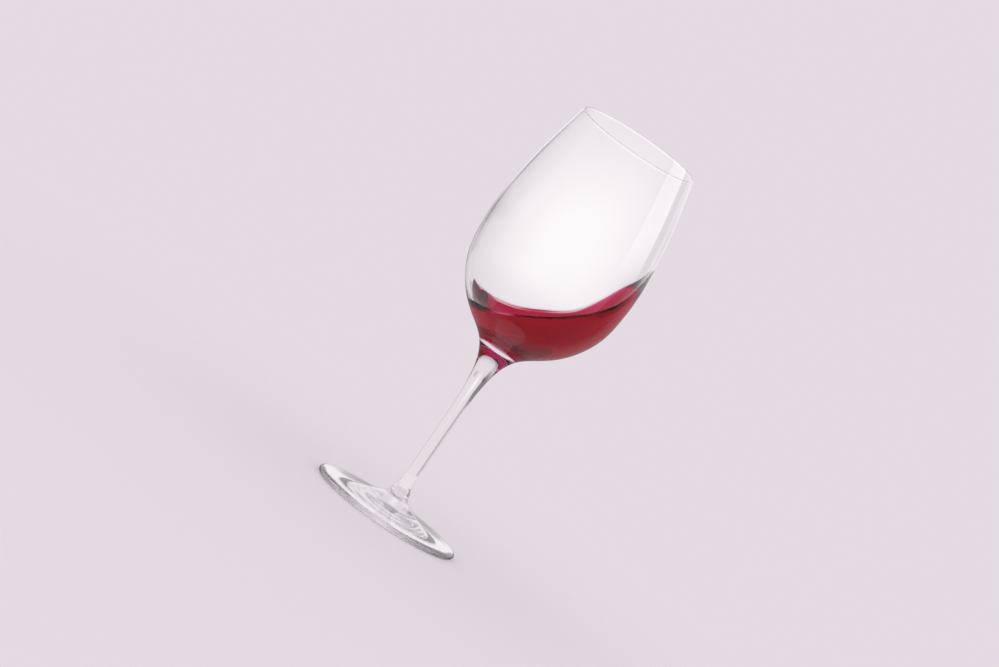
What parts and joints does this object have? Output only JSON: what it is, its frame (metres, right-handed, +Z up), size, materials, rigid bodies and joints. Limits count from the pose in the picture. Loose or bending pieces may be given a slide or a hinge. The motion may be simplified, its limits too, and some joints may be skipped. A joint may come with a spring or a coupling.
{
  "type": "stemmed glass of red wine",
  "caption": "Clear stemmed drinking glass with a tall tapered bowl and round foot, holding a small serving of deep red wine caught mid-swirl up one wall.",
  "frame": {"origin": "centre of the foot's underside, on the surface that the glass stands on", "axes": "+Z up along the glass's own axis; +X towards the wall that the swirling wine climbs"},
  "size_m": [0.085, 0.085, 0.22],
  "materials": {
    "clear_glass": "clear, thin, polished, fire-rounded rim",
    "red_wine": "clear deep crimson liquid, pinker where it is thin"
  },
  "bodies": {
    "root": {"glass": "clear_glass", "wine": "red_wine"}
  },
  "joints": []
}
